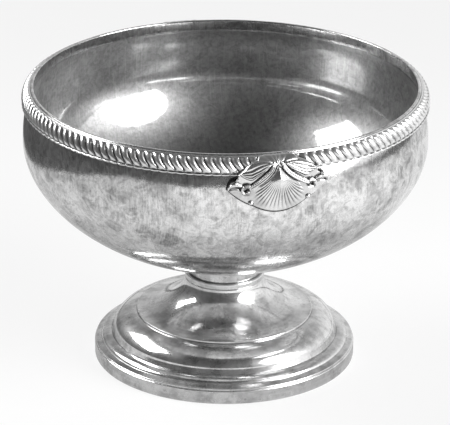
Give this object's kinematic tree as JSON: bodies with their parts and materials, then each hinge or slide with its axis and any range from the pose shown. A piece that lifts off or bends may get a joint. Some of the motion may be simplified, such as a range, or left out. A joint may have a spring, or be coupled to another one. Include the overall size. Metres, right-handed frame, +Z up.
{
  "type": "waste bowl",
  "caption": "Round plated metal waste bowl on a stepped pedestal foot, with a rope border and shell mounts on its rim, for the dregs of a tea service.",
  "frame": {"origin": "centre of the base ring, on the surface that the bowl stands on", "axes": "+Z up along the bowl's axis, the shell mounts at -Y (front) and +Y (rear)"},
  "size_m": [0.127, 0.1322, 0.0903],
  "materials": {
    "bowl_plate": "worn silver plate, polished, with fine scratches and grey tarnish",
    "border_plate": "silver plate, bright on the lobes and dark in the grooves",
    "shell_plate": "cast silver plate, bright on the relief and dark in the recesses",
    "foot_plate": "worn silver plate, polished, with spots and fine scratches"
  },
  "bodies": {
    "root": {"bowl_body": "bowl_plate", "gadroon_border_left": "border_plate", "gadroon_border_right": "border_plate", "shell_ornament_front": "shell_plate", "shell_ornament_rear": "shell_plate", "stem_collar": "foot_plate", "foot_shell": "foot_plate", "foot_base_band": "foot_plate"}
  },
  "joints": []
}
